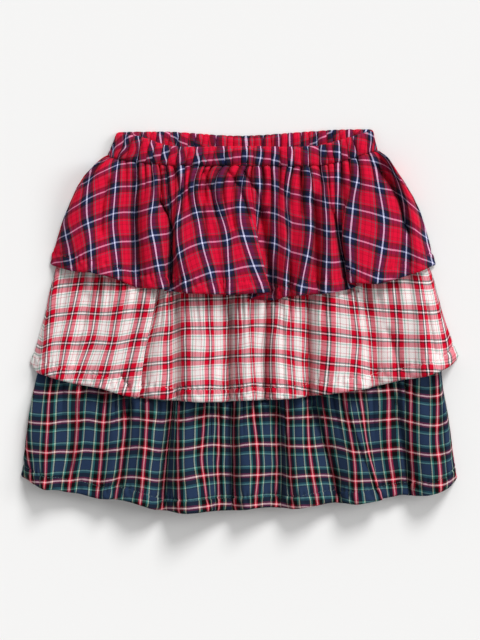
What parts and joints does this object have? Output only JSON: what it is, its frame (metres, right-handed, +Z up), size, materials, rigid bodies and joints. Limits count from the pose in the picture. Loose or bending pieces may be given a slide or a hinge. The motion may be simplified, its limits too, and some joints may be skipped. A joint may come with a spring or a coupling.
{
  "type": "tiered ruffle skirt, laid flat",
  "caption": "Girl's pull-on skirt of three gathered plaid tiers with an elastic waistband, lying flat on its back.",
  "frame": {"origin": "middle of the bounding box, on the surface that the skirt lies on", "axes": "+X across the skirt to the viewer's right, +Y towards the waistband, +Z up out of the surface"},
  "size_m": [0.4167, 0.3644, 0.0306],
  "materials": {
    "white_plaid": "brushed cotton in a white plaid with red, black and green",
    "navy_plaid": "brushed cotton in a navy and black plaid with teal, cream and pink",
    "red_plaid": "brushed cotton in a red plaid with navy, black and white"
  },
  "bodies": {
    "root": {"waistband_front": "red_plaid", "waistband_back": "red_plaid", "top_tier_front": "red_plaid", "top_tier_back": "red_plaid", "middle_tier_front": "white_plaid", "middle_tier_back": "white_plaid", "bottom_tier_front": "navy_plaid", "bottom_tier_back": "navy_plaid"}
  },
  "joints": []
}
